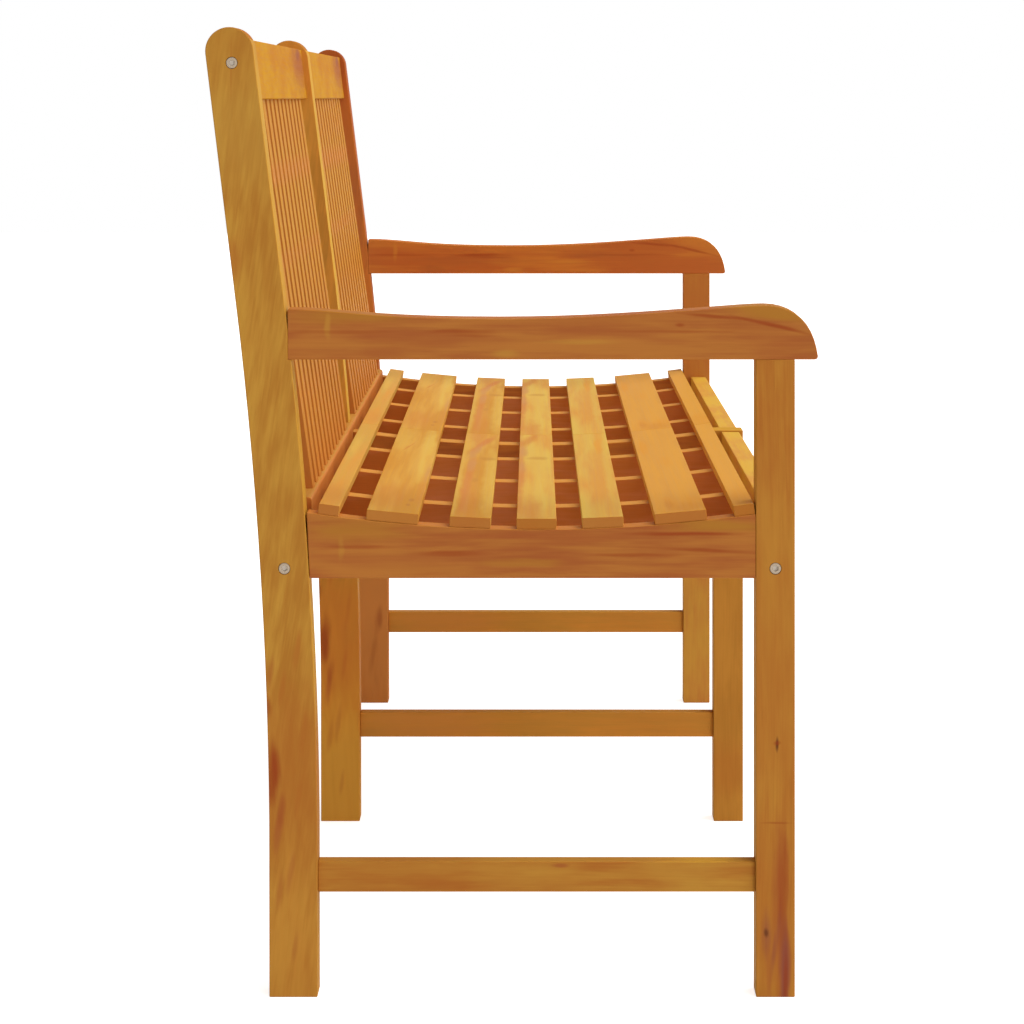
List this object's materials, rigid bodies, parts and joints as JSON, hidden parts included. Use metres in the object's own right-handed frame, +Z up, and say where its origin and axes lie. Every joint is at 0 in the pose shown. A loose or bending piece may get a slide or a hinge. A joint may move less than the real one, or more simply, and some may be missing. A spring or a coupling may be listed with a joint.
{
  "type": "garden bench",
  "caption": "Wooden garden bench with a dipped slatted seat, a raked back of thin upright slats and swept armrests on the end frames.",
  "frame": {"origin": "on the ground, at the middle of the bench's length and depth", "axes": "+X along the bench's length, a sitter faces -Y, +Z up"},
  "size_m": [1.12, 0.575, 0.91],
  "materials": {
    "frame_wood": "oiled hardwood, satin",
    "rail_wood": "oiled hardwood, satin",
    "slat_wood": "oiled hardwood, satin",
    "dowel_wood": "bare beech",
    "zinc_steel": "zinc-plated, dull"
  },
  "bodies": {
    "root": {"left_back_post": "frame_wood", "middle_back_post": "frame_wood", "right_back_post": "frame_wood", "left_front_leg": "frame_wood", "middle_front_leg": "frame_wood", "right_front_leg": "frame_wood", "left_armrest": "frame_wood", "right_armrest": "frame_wood", "left_seat_side_rail": "frame_wood", "middle_seat_rail": "frame_wood", "right_seat_side_rail": "frame_wood", "left_stretcher": "frame_wood", "middle_stretcher": "frame_wood", "right_stretcher": "frame_wood", "left_top_rail": "rail_wood", "right_top_rail": "rail_wood", "left_rear_seat_rail": "rail_wood", "right_rear_seat_rail": "rail_wood", "left_front_apron": "rail_wood", "right_front_apron": "rail_wood", "seat_support_1": "rail_wood", "seat_support_2": "rail_wood", "seat_support_3": "rail_wood", "seat_support_4": "rail_wood", "seat_support_5": "rail_wood", "seat_support_6": "rail_wood", "left_seat_slat_1": "slat_wood", "left_seat_slat_2": "slat_wood", "left_seat_slat_3": "slat_wood", "left_seat_slat_4": "slat_wood", "left_seat_slat_5": "slat_wood", "left_seat_slat_6": "slat_wood", "left_seat_slat_7": "slat_wood", "right_seat_slat_1": "slat_wood", "right_seat_slat_2": "slat_wood", "right_seat_slat_3": "slat_wood", "right_seat_slat_4": "slat_wood", "right_seat_slat_5": "slat_wood", "right_seat_slat_6": "slat_wood", "right_seat_slat_7": "slat_wood", "left_back_slats": "slat_wood", "right_back_slats": "slat_wood", "frame_bolts": "zinc_steel", "middle_studs": "zinc_steel", "barrel_nuts": "zinc_steel", "seat_screws": "zinc_steel", "dowels": "dowel_wood"}
  },
  "joints": []
}
